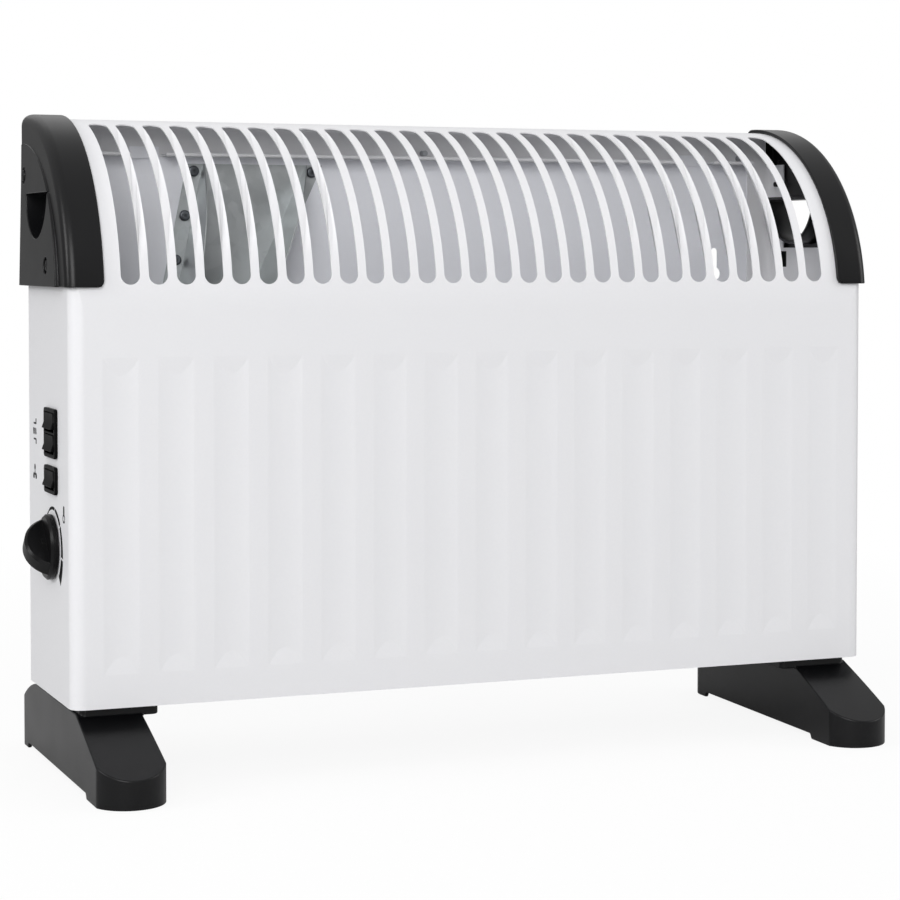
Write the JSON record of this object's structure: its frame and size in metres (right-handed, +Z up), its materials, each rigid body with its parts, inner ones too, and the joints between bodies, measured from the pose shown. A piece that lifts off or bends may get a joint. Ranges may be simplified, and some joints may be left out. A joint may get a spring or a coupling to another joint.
{
  "type": "convector heater",
  "caption": "Freestanding convector heater with a curved bar grille over the top, moulded end caps with hand holes, splayed feet, and rocker switches and a thermostat knob on one side.",
  "frame": {"origin": "on the floor under the middle of the part's bounding box, knob included", "axes": "+X to the viewer's right along the heater's width, -Y towards the front, +Z up"},
  "size_m": [0.535, 0.217, 0.3895],
  "materials": {
    "white_steel": "satin powder coat",
    "zinc_steel": "galvanised",
    "black_plastic": "fine-textured moulding",
    "black_switch": "smooth moulding",
    "screw_steel": "zinc plated",
    "brass_blade": "bare",
    "bare_aluminium": "extruded",
    "white_ceramic": "unglazed",
    "cream_plastic": "moulded",
    "motor_steel": "stamped",
    "coil_wire": "enamelled",
    "brown_phenolic": "moulded"
  },
  "bodies": {
    "housing": {"front_shell": "white_steel", "rear_panel": "white_steel", "bottom_tray": "zinc_steel", "left_end_cap": "black_plastic", "right_end_cap": "black_plastic", "cap_screws": "screw_steel", "panel_screws": "screw_steel", "left_foot": "black_plastic", "right_foot": "black_plastic", "foot_screws": "screw_steel", "heat_switch_frame": "black_switch", "fan_switch_frame": "black_switch", "switch_blades": "brass_blade", "thermostat_body": "brown_phenolic", "thermostat_nut": "screw_steel", "control_shield": "zinc_steel", "terminal_block": "cream_plastic", "cord_bush": "black_plastic", "front_heating_element": "bare_aluminium", "rear_heating_element": "bare_aluminium", "element_insulators": "white_ceramic", "element_pins": "brass_blade", "left_element_bracket": "zinc_steel", "right_element_bracket": "zinc_steel", "thermal_cutout": "brown_phenolic", "fan_scroll": "zinc_steel", "motor_stack_plates": "motor_steel", "motor_coil": "coil_wire", "motor_bridges": "zinc_steel", "motor_posts": "screw_steel", "fan_duct": "zinc_steel", "duct_screws": "screw_steel"},
    "knob": {"thermostat_knob": "black_plastic", "thermostat_shaft": "brass_blade"},
    "upper_rocker": {"upper_heat_rocker": "black_switch"},
    "lower_rocker": {"lower_heat_rocker": "black_switch"},
    "fan_switch_rocker": {"fan_rocker": "black_switch"},
    "wheel": {"fan_wheel": "black_plastic", "fan_shaft": "motor_steel", "fan_rotor": "motor_steel"}
  },
  "joints": [
    {"name": "thermostat_turn", "type": "hinge", "parent": "housing", "child": "knob", "pos_m": [-0.25045, -0.012, 0.136], "axis": [-1, 0, 0], "range_deg": [-135, 135]},
    {"name": "upper_heat_press", "type": "hinge", "parent": "housing", "child": "upper_rocker", "pos_m": [-0.24795, -0.012, 0.20855], "axis": [0, -1, 0], "range_deg": [0, 16]},
    {"name": "lower_heat_press", "type": "hinge", "parent": "housing", "child": "lower_rocker", "pos_m": [-0.24795, -0.012, 0.19585], "axis": [0, -1, 0], "range_deg": [0, 16]},
    {"name": "fan_press", "type": "hinge", "parent": "housing", "child": "fan_switch_rocker", "pos_m": [-0.24795, -0.012, 0.1751], "axis": [0, -1, 0], "range_deg": [0, 16]},
    {"name": "fan_spin", "type": "hinge", "parent": "housing", "child": "wheel", "pos_m": [-0.14395, 0.0144, 0.2], "axis": [1, 0, 0], "continuous": true}
  ]
}
